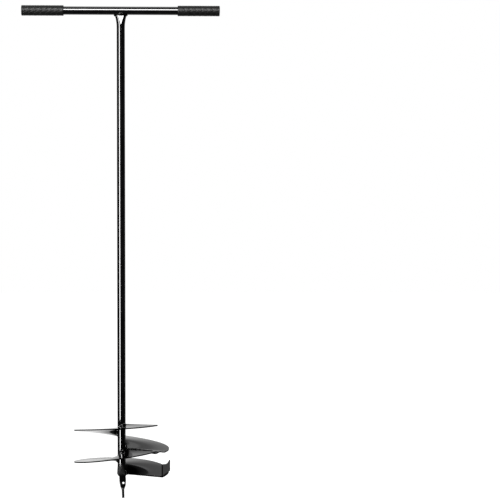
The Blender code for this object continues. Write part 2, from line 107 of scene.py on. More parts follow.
# Flights: turns, mid-sheet heights at hub and rim, and waves in each turn's drop. The upper rim
# rises again just before the seam, and the lower rim dips after it.
TOP_END_AZIMUTH = math.radians(48.0)
UPPER_TURN = math.radians(362.5)
LOWER_TURN = math.radians(347.8)
HUB_TOP = -0.8699
HUB_SEAM = -0.9218
HUB_BOTTOM = -0.9738
RIM_TOP = -0.8649
RIM_LOW = -0.9242
RIM_SEAM = -0.9188
RIM_BOTTOM = -0.9735
UPPER_HUB_WAVE = 0.03
UPPER_HUB_GROWTH = 1.15
LOWER_HUB_WAVE = -0.06
RIM_WAVE = 0.12
RISE_TURN = math.radians(20.0)
LOWER_DIP = 0.0085
DIP_TURN = math.radians(270.0)

# Seam: the upper flight's outer corner steps down and laps under the lower flight's start.
# LAP_START and STEP_START are shares of the way from hub to rim.
LAP_TURN = math.radians(1.5)
LAP_START = 0.70
STEP_START = 0.55
STEP_TURN = math.radians(8.0)
SEAM_STEP = 0.0033

# Rounding of the sheet's edges
SHEET_EDGE = 0.00015

# Side cutter: a plate with a sagging top edge. SAG_PEAK is the most that share ** 2 * (1 - share)
# reaches between 0 and 1.
CUTTER_HEIGHT = 0.0242
CUTTER_TAIL_HEIGHT = 0.0225
CUTTER_SAG = 0.0042
SAG_PEAK = 4 / 27
CUTTER_TURN = math.radians(28.5)
CUTTER_EDGE_INSET = math.radians(0.4)
CUTTER_TAIL_OUT = 0.0022
CUTTER_GRIND = 0.0006

# Point: a flat bar that leans a little; its outline is (height, half width) from the top down
POINT_THICKNESS = 0.0050
POINT_CORNER = 0.0003
POINT_OUTLINE = (
    (POINT_TOP, 0.0058),
    (-0.9770, 0.0058),
    (-0.9800, 0.0070),
    (-0.9890, 0.0070),
    (-0.9965, 0.0062),
    (-1.0035, 0.0042),
    (-1.0200, 0.0036),
    (POINT_BOTTOM, 0.0018),
)
TWIST_START = -0.9950
TWIST_END = -1.0100
POINT_LEAN = 0.0032
POINT_LEAN_GROWTH = 0.6
HOLE_RADIUS = 0.0025
HOLE_HEIGHT = -0.9939
HOLE_OFFSET = 0.0012

# Grips: GRIP_END_RINGS are shares of the flat end's radius, and GRIP_END_CENTER keeps the first of
# them open. Knobs are raised diamonds between crossing grooves.
GRIP_END_WALL = 0.0030
GRIP_ROUNDING = 0.0012
GRIP_END_RINGS = (0.0, 0.35, 0.7, 0.9)
GRIP_END_CENTER = 0.00005
GRIP_LIP = 0.0004
KNOB_HEIGHT = 0.00025
KNOB_PITCH = 0.0118
KNOBS_AROUND = 8
GROOVE_SHARE = 0.16
KNOB_SLOPE = 0.40
KNOB_FADE = 0.0008
PLAIN_END = 0.0035

# Mesh resolution
ROUND_SEGMENTS = 96
PRESS_RINGS = 20
STRAIGHT_RINGS = 6
GRIP_SEGMENTS = 160
GRIP_RINGS = 210
TURN_STEP = math.radians(2.0)
SHEET_ROWS = 26
SHEET_ROW_GROWTH = 1.3
SLOPE_PROBE = 0.01
CUTTER_STEPS = 16
TWIST_RINGS = 28
TIP_RINGS = 12
CORNER_STEPS = 4
HOLE_SEGMENTS = 64


# ---------------------------------------------------------------- helpers


def ease(value):
    """Smooth step from 0 to 1."""
    value = min(max(value, 0.0), 1.0)
    return value * value * (3.0 - 2.0 * value)


def blend(start, end, share):
    """Straight blend between two numbers."""
    return start + (end - start) * share


def even_steps(start, end, count):
    """Evenly spaced numbers from start to end, both included."""
    return [blend(start, end, index / count) for index in range(count + 1)]


def polar(radius, azimuth, height):
    """A point at a radius and azimuth from the shaft's axis."""
    return Vector((radius * math.sin(azimuth), -radius * math.cos(azimuth), height))


def add_ring(mesh_edit, points):
    """Add one ring of vertices."""
    return [mesh_edit.verts.new(point) for point in points]


def join_rings(mesh_edit, first, second):
    """Skin the strip between two closed rings with the same number of vertices."""
    count = len(first)
    for index in range(count):
        after = (index + 1) % count
        mesh_edit.faces.new((first[index], first[after], second[after], second[index]))


def sweep(sections, closed=False):
    """Skin a row of closed sections, capped at both ends or joined end to end."""
    mesh_edit = bmesh.new()
    rings = [add_ring(mesh_edit, section) for section in sections]
    for first, second in zip(rings, rings[1:]):
        join_rings(mesh_edit, first, second)
    if closed:
        join_rings(mesh_edit, rings[-1], rings[0])
    else:
        mesh_edit.faces.new(rings[0])
        mesh_edit.faces.new(rings[-1])
    return mesh_edit


def thick_sheet(upper_face, lower_face):
    """A sheet body between two grids of points, each a list of columns; its edges take slot 1."""
    mesh_edit = bmesh.new()
    grids = [[add_ring(mesh_edit, column) for column in face] for face in (upper_face, lower_face)]
    columns = len(upper_face)
    rows = len(upper_face[0])
    edges = []
    for grid in grids:
        for col in range(columns - 1):
            for row in range(rows - 1):
                corners = (grid[col][row], grid[col + 1][row])
                mesh_edit.faces.new((*corners, grid[col + 1][row + 1], grid[col][row + 1]))
    top, bottom = grids
    for col in range(columns - 1):
        for row in (0, rows - 1):
            pair = (top[col][row], top[col + 1][row])
            edges.append(mesh_edit.faces.new((*pair, bottom[col + 1][row], bottom[col][row])))
    for row in range(rows - 1):
        for col in (0, columns - 1):
            pair = (top[col][row], top[col][row + 1])
            edges.append(mesh_edit.faces.new((*pair, bottom[col][row + 1], bottom[col][row])))
    for face in edges:
        face.material_index = 1
    return mesh_edit


def add_piece(name, mesh_edit, node, material, sharp_angle=40.0):
    """Finish a mesh as a smooth-shaded piece that stands for a CAD node."""
    bmesh.ops.recalc_face_normals(mesh_edit, faces=mesh_edit.faces)
    mesh = bpy.data.meshes.new(name)
    mesh_edit.to_mesh(mesh)
    mesh_edit.free()
    mesh.shade_smooth()
    mesh.set_sharp_from_angle(angle=math.radians(sharp_angle))
    mesh.materials.append(material)
    piece = bpy.data.objects.new(name, mesh)
    bpy.context.scene.collection.objects.link(piece)
    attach(piece, "root")
    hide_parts(node)
    return piece


def soften_edges(piece, width):
    """Round a piece's sharp edges a little."""
    bevel = piece.modifiers.new("soft_edges", "BEVEL")
    bevel.width = width
    bevel.segments = 2
    bevel.limit_method = "ANGLE"
    bevel.angle_limit = math.radians(50.0)
    bevel.harden_normals = True


# ---------------------------------------------------------------- materials


FOOT_HAZE = 0.58
HAZE_TOP = -0.9480
HAZE_BOTTOM = -0.9600


def new_material(name, color, roughness):
    """A Principled material and its shader, with colour and roughness set on the sockets."""
    material = bpy.data.materials.new(name)
    material.use_nodes = True
    shader = material.node_tree.nodes["Principled BSDF"]
    shader.inputs["Base Color"].default_value = (*color, 1.0)
    shader.inputs["Roughness"].default_value = roughness
    return material, shader


def add_noise(material, scale, detail=3.0):
    """A noise texture in object metres; returns its value."""
    tree = material.node_tree
    place = tree.nodes.new("ShaderNodeTexCoord")
    texture = tree.nodes.new("ShaderNodeTexNoise")
    texture.inputs["Scale"].default_value = scale
    texture.inputs["Detail"].default_value = detail
    tree.links.new(place.outputs["Object"], texture.inputs["Vector"])
    return texture.outputs["Fac"]


def map_value(material, value, low, high, from_low=0.3, from_high=0.7):
    """Spread a texture's value over a range."""
    tree = material.node_tree
    spread = tree.nodes.new("ShaderNodeMapRange")
    spread.inputs["From Min"].default_value = from_low
    spread.inputs["From Max"].default_value = from_high
    spread.inputs["To Min"].default_value = low
    spread.inputs["To Max"].default_value = high
    tree.links.new(value, spread.inputs["Value"])
    return spread.outputs["Result"]


def mix_colors(material, share, dark, light):
    """A colour between two, by a value."""
    tree = material.node_tree
    ramp = tree.nodes.new("ShaderNodeValToRGB")
    ramp.color_ramp.elements[0].color = (*dark, 1.0)
    ramp.color_ramp.elements[0].position = 0.35
    ramp.color_ramp.elements[1].color = (*light, 1.0)
    ramp.color_ramp.elements[1].position = 0.65
    tree.links.new(share, ramp.inputs["Fac"])
    return ramp.outputs["Color"]


def add_bumps(material, shader, layers):
    """Stack bumps on the shader's normal; each layer is (height value, height in metres)."""
    tree = material.node_tree
    normal = None
    for value, height in layers:
        bump = tree.nodes.new("ShaderNodeBump")
        bump.inputs["Strength"].default_value = 1.0
        bump.inputs["Distance"].default_value = height
        tree.links.new(value, bump.inputs["Height"])
        if normal is not None:
            tree.links.new(normal, bump.inputs["Normal"])
        normal = bump.outputs["Normal"]
    tree.links.new(normal, shader.inputs["Normal"])


def make_black_paint(name, hazy_foot=False):
    """Gloss black paint: faint orange peel, a slow waviness and a slightly uneven gloss.

    With a hazy foot, the paint turns rough near the welds at the shaft's lower end.
    """
    material, shader = new_material(name, (0.001, 0.001, 0.001), 0.08)
    tree = material.node_tree
    gloss = map_value(material, add_noise(material, 40.0, detail=1.0), 0.07, 0.09)
    if hazy_foot:
        place = tree.nodes.new("ShaderNodeTexCoord")
        split = tree.nodes.new("ShaderNodeSeparateXYZ")
        tree.links.new(place.outputs["Object"], split.inputs["Vector"])
        haze = map_value(material, split.outputs["Z"], FOOT_HAZE, 0.0, HAZE_BOTTOM, HAZE_TOP)
        total = tree.nodes.new("ShaderNodeMath")
        tree.links.new(gloss, total.inputs[0])
        tree.links.new(haze, total.inputs[1])
        gloss = total.outputs["Value"]
    tree.links.new(gloss, shader.inputs["Roughness"])
    dark, light = (0.0007, 0.0007, 0.0008), (0.0014, 0.0014, 0.0015)
    tone = mix_colors(material, add_noise(material, 35.0), dark, light)
    tree.links.new(tone, shader.inputs["Base Color"])
    peel = add_noise(material, 700.0, detail=1.0)
    wave = add_noise(material, 18.0, detail=1.0)
    add_bumps(material, shader, ((wave, 0.00006), (peel, 0.0000006)))
    return material


def make_dull_paint(name, sheen):
    """Thin, dull, nicked paint; sheen is its specular level.

    It covers the sheet's cut edges, the seam and the point, where soil rubs. With hardly any sheen it
    also covers the bead under the handle as painted shade, keeping it black like the shadow there.
    """
    material, shader = new_material(name, (0.001, 0.001, 0.001), 0.18)
    shader.inputs["Specular IOR Level"].default_value = sheen
    tree = material.node_tree
    gloss = map_value(material, add_noise(material, 120.0), 0.14, 0.30)
    tree.links.new(gloss, shader.inputs["Roughness"])
    nicks = add_noise(material, 500.0, detail=2.0)
    add_bumps(material, shader, ((nicks, 0.00004),))
    return material


def make_weld_paint():
    """The same paint over weld metal: ripples and spatter show through."""
    material, shader = new_material("weld_paint_rough", (0.001, 0.001, 0.001), 0.2)
    tree = material.node_tree
    gloss = map_value(material, add_noise(material, 300.0), 0.12, 0.35)
    tree.links.new(gloss, shader.inputs["Roughness"])
    lumps = add_noise(material, 420.0, detail=2.0)
    grit = add_noise(material, 1500.0, detail=2.0)
    add_bumps(material, shader, ((lumps, 0.0006), (grit, 0.00008)))
    return material


def make_grip_rubber():
    """Matt black moulded rubber with a fine grain and an uneven tone and gloss."""
    material, shader = new_material("grip_rubber_matt", (0.003, 0.003, 0.003), 0.32)
    shader.inputs["Specular IOR Level"].default_value = 0.2
    tree = material.node_tree
    dark, light = (0.001, 0.001, 0.001), (0.0028, 0.0028, 0.0028)
    tone = mix_colors(material, add_noise(material, 160.0), dark, light)
    tree.links.new(tone, shader.inputs["Base Color"])
    gloss = map_value(material, add_noise(material, 220.0), 0.37, 0.46)
    tree.links.new(gloss, shader.inputs["Roughness"])
    grain = add_noise(material, 1800.0, detail=2.0)
    skin = add_noise(material, 400.0, detail=2.0)
    add_bumps(material, shader, ((skin, 0.00003), (grain, 0.00001)))
    return material


black_paint = make_black_paint("black_paint_gloss")
shaft_paint = make_black_paint("black_paint_shaft", hazy_foot=True)
dull_paint = make_dull_paint("black_paint_dull", 0.2)
# Painted shade: paint with almost no sheen keeps the bead under the handle black, like the shadow there.
shade_black_bead_paint = make_dull_paint("black_paint_painted_shade", 0.02)
weld_paint = make_weld_paint()
grip_rubber = make_grip_rubber()


# ---------------------------------------------------------------- handle tube and grips


def handle_ring(x, radius, segments=ROUND_SEGMENTS):
    """A ring about the handle's axis."""
    points = []
    for index in range(segments):
        angle = math.tau * index / segments
        points.append(Vector((x, radius * math.sin(angle), radius * math.cos(angle))))
    return points


def make_handle_tube():
    """The cross tube with its open ends inside the grips."""
    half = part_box("handle_tube")[1][0]
    bore = TUBE_RADIUS - TUBE_WALL
    profile = [(-half, TUBE_RADIUS), (half, TUBE_RADIUS), (half, bore), (-half, bore)]
    tube = sweep([handle_ring(x, radius) for x, radius in profile], closed=True)
    add_piece("handle_cross_tube", tube, "handle_tube", black_paint)


def knob_share(along, angle):
    """0 in the grooves and 1 on top of the raised diamonds."""
    axial = along / KNOB_PITCH
    around = angle / math.tau * KNOBS_AROUND
    edges = []
    for line in (axial + around, axial - around):
        edges.append(0.5 - abs(line % 1.0 - 0.5))
    nearest = min(edges) * 2.0
    return ease((nearest - GROOVE_SHARE) / KNOB_SLOPE)


def grip_surface_radius(along, angle):
    """Outside radius of a grip: plain rims at both ends, diamonds between."""
    edge = min(along, GRIP_LENGTH - along)
    corner = max(0.0, 1.0 - edge / GRIP_ROUNDING)
    rim = GRIP_RADIUS - GRIP_ROUNDING * (1.0 - math.sqrt(1.0 - corner ** 2))
    if edge <= PLAIN_END:
        return rim
    inside = ease((edge - PLAIN_END) / KNOB_FADE)
    knobs = GRIP_RADIUS - KNOB_HEIGHT * (1.0 - knob_share(along, angle))
    return blend(rim, knobs, inside)


def make_grip(name, side):
    """A knobbed rubber sleeve, closed at its outer end; side is -1 for left and 1 for right."""
    end = side * HANDLE_HALF
    rings = []
    for share in GRIP_END_RINGS:
        radius = share * (GRIP_RADIUS - GRIP_ROUNDING) + GRIP_END_CENTER
        rings.append(handle_ring(end, radius, GRIP_SEGMENTS))
    for step in range(GRIP_RINGS + 1):
        along = GRIP_LENGTH * step / GRIP_RINGS
        ring = []
        for index in range(GRIP_SEGMENTS):
            angle = math.tau * index / GRIP_SEGMENTS
            radius = grip_surface_radius(along, angle)
            ring.append(Vector((end - side * along, radius * math.sin(angle), radius * math.cos(angle))))
        rings.append(ring)
    inner = end - side * GRIP_LENGTH
    bore = TUBE_RADIUS + GAP / 3
    rings.append(handle_ring(inner, bore + GRIP_LIP, GRIP_SEGMENTS))
    rings.append(handle_ring(inner + side * GRIP_LIP, bore, GRIP_SEGMENTS))
    rings.append(handle_ring(end - side * GRIP_END_WALL, bore, GRIP_SEGMENTS))
    add_piece(name + "_knobbed", sweep(rings), name, grip_rubber, sharp_angle=70.0)


make_handle_tube()
make_grip("left_grip", -1)
make_grip("right_grip", 1)


# ---------------------------------------------------------------- shaft


def squeeze(value, limit):
    """Flatten a coordinate softly against a pressing face at the limit."""
    share = (abs(value) / limit) ** PRESS_SHARPNESS
    return value / (1.0 + share) ** (1.0 / PRESS_SHARPNESS)


def pressed_point(angle, radius, half_width, half_depth, height):
    """A point of a tube's outline once the tube is pressed between front and back faces."""
    x = half_width * math.sin(angle)
    y = squeeze(-radius * math.cos(angle), half_depth)
    return Vector((x, y, height))


def shaft_section(height):
    """Half width and half depth of the shaft's outside at a height."""
    if height > TOP_PRESS_START:
        share = (height - TOP_PRESS_START) / (-TUBE_RADIUS - TOP_PRESS_START)
        half_width = blend(TUBE_RADIUS, TOP_HALF_WIDTH, share ** TOP_FLARE)
        half_depth = TUBE_RADIUS + TOP_FACET_SLOPE * (TOP_FACET_START - height)
        return half_width, half_depth
    if height < FOOT_PRESS_START:
        share = (height - FOOT_PRESS_START) / (SHAFT_BOTTOM - FOOT_PRESS_START)
        half_width = blend(TUBE_RADIUS, FOOT_HALF_WIDTH, ease(share))
        half_depth = blend(TUBE_RADIUS * PRESS_CLEAR, FOOT_HALF_DEPTH, share ** FOOT_PRESS_GROWTH)
        return half_width, half_depth
    return TUBE_RADIUS, TUBE_RADIUS * PRESS_CLEAR


def shaft_ring(height, inset):
    """The shaft's outline at a height, moved inward by the inset."""
    half_width, half_depth = shaft_section(height)
    points = []
    for index in range(ROUND_SEGMENTS):
        angle = math.tau * index / ROUND_SEGMENTS
        size = (TUBE_RADIUS - inset, half_width - inset, half_depth - inset)
        points.append(pressed_point(angle, *size, height))
    return points


def under_handle(point, drop):
    """A point moved to a given drop below the handle tube's underside."""
    return Vector((point.x, point.y, -math.sqrt(TUBE_RADIUS ** 2 - point.y ** 2) - drop))


def make_shaft():
    """The upright tube: saddled under the handle, pressed at both ends, open at the bottom."""
    top_stop = -TUBE_RADIUS - SADDLE_DROP
    heights = even_steps(top_stop, TOP_PRESS_START, PRESS_RINGS)
    heights += even_steps(TOP_PRESS_START, FOOT_PRESS_START, STRAIGHT_RINGS)[1:-1]
    heights += even_steps(FOOT_PRESS_START, SHAFT_BOTTOM, PRESS_RINGS)
    outer = [shaft_ring(height, 0.0) for height in heights]
    inner = [shaft_ring(height, TUBE_WALL) for height in heights]
    for rings, inset in ((outer, 0.0), (inner, TUBE_WALL)):
        rings.insert(0, [under_handle(point, SADDLE_GAP) for point in shaft_ring(-TUBE_RADIUS, inset)])
    rings = outer + inner[::-1]
    tube = sweep(rings, closed=True)
    piece = add_piece("shaft_upright", tube, "shaft_tube", shaft_paint)
    soften_edges(piece, SHAFT_EDGE)


make_shaft()


# ---------------------------------------------------------------- flights


def wave_share(share, wave):
    """Share of a turn's drop: a positive wave makes mid-turn the steepest, a negative one the ends."""
    return share - wave * math.sin(math.tau * share)


def upper_height(turn, across):
    """Mid-surface height of the upper flight; across is 0 at the hub and 1 at the rim."""
    share = max(turn, 0.0) / UPPER_TURN
    hub = blend(HUB_TOP, HUB_SEAM, wave_share(share ** UPPER_HUB_GROWTH, UPPER_HUB_WAVE))
    rim = blend(RIM_TOP, RIM_LOW, wave_share(share, RIM_WAVE))
    rim += (RIM_SEAM - RIM_LOW) * ease((turn - UPPER_TURN + RISE_TURN) / RISE_TURN)
    return blend(hub, rim, across)


def lower_height(turn, across):
    """Mid-surface height of the lower flight."""
    share = max(turn, 0.0) / LOWER_TURN
    hub = blend(HUB_SEAM, HUB_BOTTOM, wave_share(share, LOWER_HUB_WAVE))
    rim = blend(RIM_SEAM, RIM_BOTTOM, share)
    rim -= LOWER_DIP * math.sin(math.pi * min(turn / DIP_TURN, 1.0)) ** 2
    return blend(hub, rim, across)


def lapped_upper_height(turn, across):
    """The upper flight with its outer corner passing under the lower flight's start."""
    height = upper_height(turn, across)
    if turn > UPPER_TURN:
        height = lower_height(turn - UPPER_TURN, across)
    step = ease((turn - UPPER_TURN + STEP_TURN) / STEP_TURN)
    step *= ease((across - STEP_START) / (LAP_START - STEP_START))
    return height - SEAM_STEP * step


def hub_radius(height):
    """Inner radius of a flight, against the shaft."""
    return shaft_section(height)[0]


def sheet_half(height_at, turn, across, radius):
    """Half of the sheet's vertical thickness, so that it is SHEET thick square to its face."""
    change = height_at(turn + SLOPE_PROBE, across) - height_at(turn - SLOPE_PROBE, across)
    slope = change / (2 * SLOPE_PROBE * radius)
    return SHEET / 2 * math.sqrt(1.0 + slope ** 2)


def flight_point(height_at, start_azimuth, turn, across, side):
    """A point on a flight's face: side is 1 for the top, -1 for the underside, 0 for mid-sheet."""
    radius = blend(hub_radius(height_at(turn, 0.0)), FLIGHT_RADIUS, across)
    height = height_at(turn, across) + side * sheet_half(height_at, turn, across, radius)
    return polar(radius, start_azimuth - turn, height)


def flight_faces(height_at, start_azimuth, start_turn, end_turn):
    """Top and bottom grids of a flight; its ends are turns that may depend on the station."""
    across = [(index / SHEET_ROWS) ** SHEET_ROW_GROWTH for index in range(SHEET_ROWS + 1)]
    count = round(end_turn(0.0) / TURN_STEP)
    faces = []
    for side in (1, -1):
        columns = []
        for index in range(count + 1):
            column = []
            for station in across:
                turn = blend(start_turn(station), end_turn(station), index / count)
                column.append(flight_point(height_at, start_azimuth, turn, station, side))
            columns.append(column)
        faces.append(columns)
    return faces


def upper_end(across):
    """Turn at which the upper flight ends."""
    return UPPER_TURN + LAP_TURN * ease((across - LAP_START) / (1.0 - LAP_START))


SEAM_AZIMUTH = TOP_END_AZIMUTH - UPPER_TURN
CUTTING_AZIMUTH = SEAM_AZIMUTH - LOWER_TURN


def make_flights():
    """Both turns of sheet, with dull paint in their second slot, on the edges."""
    faces = flight_faces(lapped_upper_height, TOP_END_AZIMUTH, lambda across: 0.0, upper_end)
    upper = add_piece("upper_turn", thick_sheet(*faces), "upper_flight", black_paint)
    faces = flight_faces(lower_height, SEAM_AZIMUTH, lambda across: 0.0, lambda across: LOWER_TURN)
    lower = add_piece("lower_turn", thick_sheet(*faces), "lower_flight", black_paint)
    for piece in (upper, lower):
        piece.data.materials.append(dull_paint)
        soften_edges(piece, SHEET_EDGE)


make_flights()


# ---------------------------------------------------------------- side cutter


def foot_height(point):
    """Height of the lower flight's top face under a point."""
    radius = math.hypot(point.x, point.y)
    azimuth = math.atan2(point.x, -point.y)
    turn = LOWER_TURN - (azimuth - CUTTING_AZIMUTH) % math.tau
    across = (radius - TUBE_RADIUS) / (FLIGHT_RADIUS - TUBE_RADIUS)
    return lower_height(turn, across) + sheet_half(lower_height, turn, across, radius)


def on_foot(point, lift=0.0):
    """A point lifted above the lower flight's top face."""
    return Vector((point.x, point.y, foot_height(point) + lift))


def cutter_stations():
    """Evenly spaced points along the cutter's outer foot line, and the outward direction."""
    start = polar(FLIGHT_RADIUS, CUTTING_AZIMUTH + CUTTER_EDGE_INSET, 0.0)
    end = polar(FLIGHT_RADIUS + CUTTER_TAIL_OUT, CUTTING_AZIMUTH + CUTTER_TURN, 0.0)
    along = (end - start).normalized()
    outward = Vector((-along.y, along.x, 0.0))
    if outward.dot(start) < 0.0:
        outward = -outward
    return [start.lerp(end, index / CUTTER_STEPS) for index in range(CUTTER_STEPS + 1)], outward


def make_side_cutter():
    """An upright flat plate on the rim: hollow top edge, raised tail, ground leading edge."""
    stations, outward = cutter_stations()
    along = (stations[1] - stations[0]).normalized()
    shift = -SHEET * outward
    tops = [on_foot(stations[0], CUTTER_HEIGHT), on_foot(stations[-1], CUTTER_TAIL_HEIGHT)]
    sections = []
    for index, outer in enumerate(stations):
        share = index / CUTTER_STEPS
        top = tops[0].lerp(tops[1], share)
        top.z -= CUTTER_SAG * share ** 2 * (1.0 - share) / SAG_PEAK
        grind = CUTTER_GRIND * along if index == 0 else Vector()
        sections.append([on_foot(outer + shift), on_foot(outer + grind), top + grind, top + shift])
    piece = add_piece("side_cutter_plate", sweep(sections), "side_cutter", black_paint)
    soften_edges(piece, SHEET_EDGE)


make_side_cutter()


# ---------------------------------------------------------------- point


def point_center(height):
    """Sideways place of the bar's centre: it leans a little off the shaft's axis."""
    share = max(0.0, (POINT_TOP - height) / (POINT_TOP - POINT_BOTTOM))
    return POINT_LEAN * share ** POINT_LEAN_GROWTH


def point_half_width(height):
    """Half width of the bar: tang, shoulder, slow taper and blunt end."""
    for (top, top_half), (bottom, bottom_half) in zip(POINT_OUTLINE, POINT_OUTLINE[1:]):
        if height >= bottom:
            return blend(top_half, bottom_half, (top - height) / (top - bottom))
    return POINT_OUTLINE[-1][1]


def rounded_box(half_wide, half_thick, corner):
    """Outline of a rectangle with rounded corners."""
    outline = []
    for quarter, (side_x, side_y) in enumerate(((1, 1), (-1, 1), (-1, -1), (1, -1))):
        for step in range(CORNER_STEPS + 1):
            angle = math.pi / 2 * (quarter + step / CORNER_STEPS)
            x = side_x * (half_wide - corner) + corner * math.cos(angle)
            y = side_y * (half_thick - corner) + corner * math.sin(angle)
            outline.append((x, y))
    return outline


def point_section(height):
    """The bar's outline at a height, turned by the twist."""
    twist = math.radians(90.0) * ease((TWIST_START - height) / (TWIST_START - TWIST_END))
    along = Vector((math.cos(twist), math.sin(twist), 0.0))
    square = Vector((-math.sin(twist), math.cos(twist), 0.0))
    center = Vector((point_center(height), 0.0, height))
    outline = rounded_box(point_half_width(height), POINT_THICKNESS / 2, POINT_CORNER)
    return [center + along * wide + square * thick for wide, thick in outline]


def make_hole_cutter():
    """A hidden cylinder that cuts the hole through the bar."""
    mesh_edit = bmesh.new()
    size = {"radius1": HOLE_RADIUS, "radius2": HOLE_RADIUS, "depth": POINT_THICKNESS * 3}
    bmesh.ops.create_cone(mesh_edit, cap_ends=True, segments=HOLE_SEGMENTS, **size)
    mesh = bpy.data.meshes.new("hole_cutter")
    mesh_edit.to_mesh(mesh)
    mesh_edit.free()
    cutter = bpy.data.objects.new("hole_cutter", mesh)
    bpy.context.scene.collection.objects.link(cutter)
    cutter.rotation_euler = (math.radians(90.0), 0.0, 0.0)
    cutter.location = (point_center(HOLE_HEIGHT) + HOLE_OFFSET, 0.0, HOLE_HEIGHT)
    return cutter


def make_point():
    """The flat bar: tang, hole, quarter twist and blunt end."""
    heights = {station[0] for station in POINT_OUTLINE}
    heights.update(even_steps(TWIST_START, TWIST_END, TWIST_RINGS))
    heights.update(even_steps(TWIST_END, POINT_BOTTOM, TIP_RINGS))
    sections = [point_section(height) for height in sorted(heights, reverse=True)]
    piece = add_piece("point_twisted_bar", sweep(sections), "point_bar", dull_paint)
    cutter = make_hole_cutter()
    cut = piece.modifiers.new("hole", "BOOLEAN")
    cut.operation = "DIFFERENCE"
    cut.solver = "EXACT"
    cut.object = cutter
    with bpy.context.temp_override(object=piece, active_object=piece):
        bpy.ops.object.modifier_apply(modifier=cut.name)
    bpy.data.objects.remove(cutter, do_unlink=True)


make_point()


# ---------------------------------------------------------------- welds


# All beads: ripples follow each other along a bead, and lumps come from noise; seeds move the noise
BEAD_SEGMENTS = 20
RIPPLE_PITCH = 0.0019
RIPPLE_SHARE = 0.10
LUMP_SCALE = 320.0
LUMP_SHARE = 0.45
END_TAPER_RINGS = 6
END_TAPER_FLOOR = 0.04

# Handle bead: it follows the shaft's outline at HANDLE_BEAD_FOOT; the extra values make it lower
# and thicker in front and behind
HANDLE_BEAD_STATIONS = 144
HANDLE_BEAD_OUT = 0.0002
HANDLE_BEAD_DROP = 0.0006
HANDLE_BEAD_EXTRA_DROP = 0.0031
HANDLE_BEAD_RADIUS = 0.0019
HANDLE_BEAD_EXTRA_RADIUS = 0.0008
HANDLE_BEAD_FOOT = -TUBE_RADIUS - 0.0012

# Hub beads: their middle is this far out from the shaft and off the sheet's face. Margins are left
# bare at a flight's end and at the seam. UNEVEN is how much a radius varies along a bead, on a noise
# that UNEVEN_SCALE makes slower than the lumps'.
END_MARGIN = math.radians(4.0)
SEAM_MARGIN = math.radians(16.0)
HUB_BEAD_STEPS = 300
HUB_BEAD_OUT = 0.0008
HUB_BEAD_OFF = 0.0012
HUB_BEAD_RADIUS = 0.0019
HUB_BEAD_UNEVEN = 0.0009
HUB_BEAD_UNEVEN_SCALE = 0.35

# Seam bead: from near the hub outward, as shares of the way to the rim
SEAM_BEAD_STEPS = 190
SEAM_BEAD_START = 0.02
SEAM_BEAD_END = 0.90
SEAM_BEAD_LIFT = Vector((0.0, 0.0, 0.0001))
SEAM_BEAD_FIRST_RADIUS = 0.0017
SEAM_BEAD_LAST_RADIUS = 0.0010
SEAM_BEAD_UNEVEN = 0.0006
SEAM_BEAD_UNEVEN_SCALE = 0.4

# Side cutter's bead
CUTTER_BEAD_STEPS = 70
CUTTER_BEAD_RADIUS = 0.0016
CUTTER_BEAD_UNEVEN = 0.0006
CUTTER_BEAD_UNEVEN_SCALE = 0.5

# Point collar: it overlaps the shaft's end by COLLAR_LAP and is capped inside it
COLLAR_STEPS = 16
COLLAR_LAP = 0.0002
COLLAR_INSET = 0.0006
COLLAR_LUMP = 0.0007
COLLAR_LUMP_LIMIT = 0.0003
COLLAR_LUMP_GROWTH = 4.0
COLLAR_CAP_INSET = 0.3
COLLAR_CAP_RISE = 0.0004


def lump(point, size, seed):
    """Uneven swelling of a weld bead at a point, from -size to size."""
    spot = point * LUMP_SCALE + Vector((seed, 0.0, 0.0))
    return size * noise.noise(spot)


def bead_ring(center, along, up, radius, seed, ripple):
    """A lumpy ring of a weld bead about its path; ripple scales its radius but not its lumps."""
    side = along.cross(up).normalized()
    rise = side.cross(along).normalized()
    ring = []
    for index in range(BEAD_SEGMENTS):
        angle = math.tau * index / BEAD_SEGMENTS
        spot = side * math.cos(angle) + rise * math.sin(angle)
        swell = radius * ripple + lump(center + spot * radius, radius * LUMP_SHARE, seed)
        ring.append(center + spot * swell)
    return ring


def bead_along(name, path, ups, radii, node, seed, closed=False, material=weld_paint):
    """A weld bead swept along a path, with the overlapping ripples that a welder leaves.

    An up and a radius go with each point of the path; an open bead narrows at its ends.
    """
    rings = []
    count = len(path)
    travelled = 0.0
    for index, center in enumerate(path):
        before = path[index - 1] if closed or index else path[0]
        after = path[(index + 1) % count] if closed or index < count - 1 else path[-1]
        along = (after - before).normalized()
        if index:
            travelled += (center - path[index - 1]).length
        ripple = 1.0 + RIPPLE_SHARE * abs(math.sin(math.pi * travelled / RIPPLE_PITCH))
        radius = radii[index]
        if not closed:
            from_end = min(index, count - 1 - index) / END_TAPER_RINGS
            radius *= math.sqrt(max(END_TAPER_FLOOR, 1.0 - max(0.0, 1.0 - from_end) ** 2))
        rings.append(bead_ring(center, along, ups[index], radius, seed, ripple))
    add_piece(name, sweep(rings, closed=closed), node, material, sharp_angle=80.0)


def make_handle_bead():
    """The bead round the saddle joint of shaft and handle."""
    half_width, half_depth = shaft_section(HANDLE_BEAD_FOOT)
    path = []
    ups = []
    radii = []
    for index in range(HANDLE_BEAD_STATIONS):
        angle = math.tau * index / HANDLE_BEAD_STATIONS
        out = Vector((math.sin(angle), -math.cos(angle), 0.0))
        foot = pressed_point(angle, TUBE_RADIUS, half_width, half_depth, 0.0)
        broad = math.cos(angle) ** 2
        drop = HANDLE_BEAD_DROP + HANDLE_BEAD_EXTRA_DROP * broad
        path.append(under_handle(foot + out * HANDLE_BEAD_OUT, drop))
        ups.append(UPWARD + out)
        radii.append(HANDLE_BEAD_RADIUS + HANDLE_BEAD_EXTRA_RADIUS * broad)
    # Painted shade: the bead gets the sheenless paint, so it stays black like the shadow under the
    # handle.
    finish = {"closed": True, "material": shade_black_bead_paint}
    bead_along("handle_joint_bead", path, ups, radii, "handle_weld", 3.0, **finish)


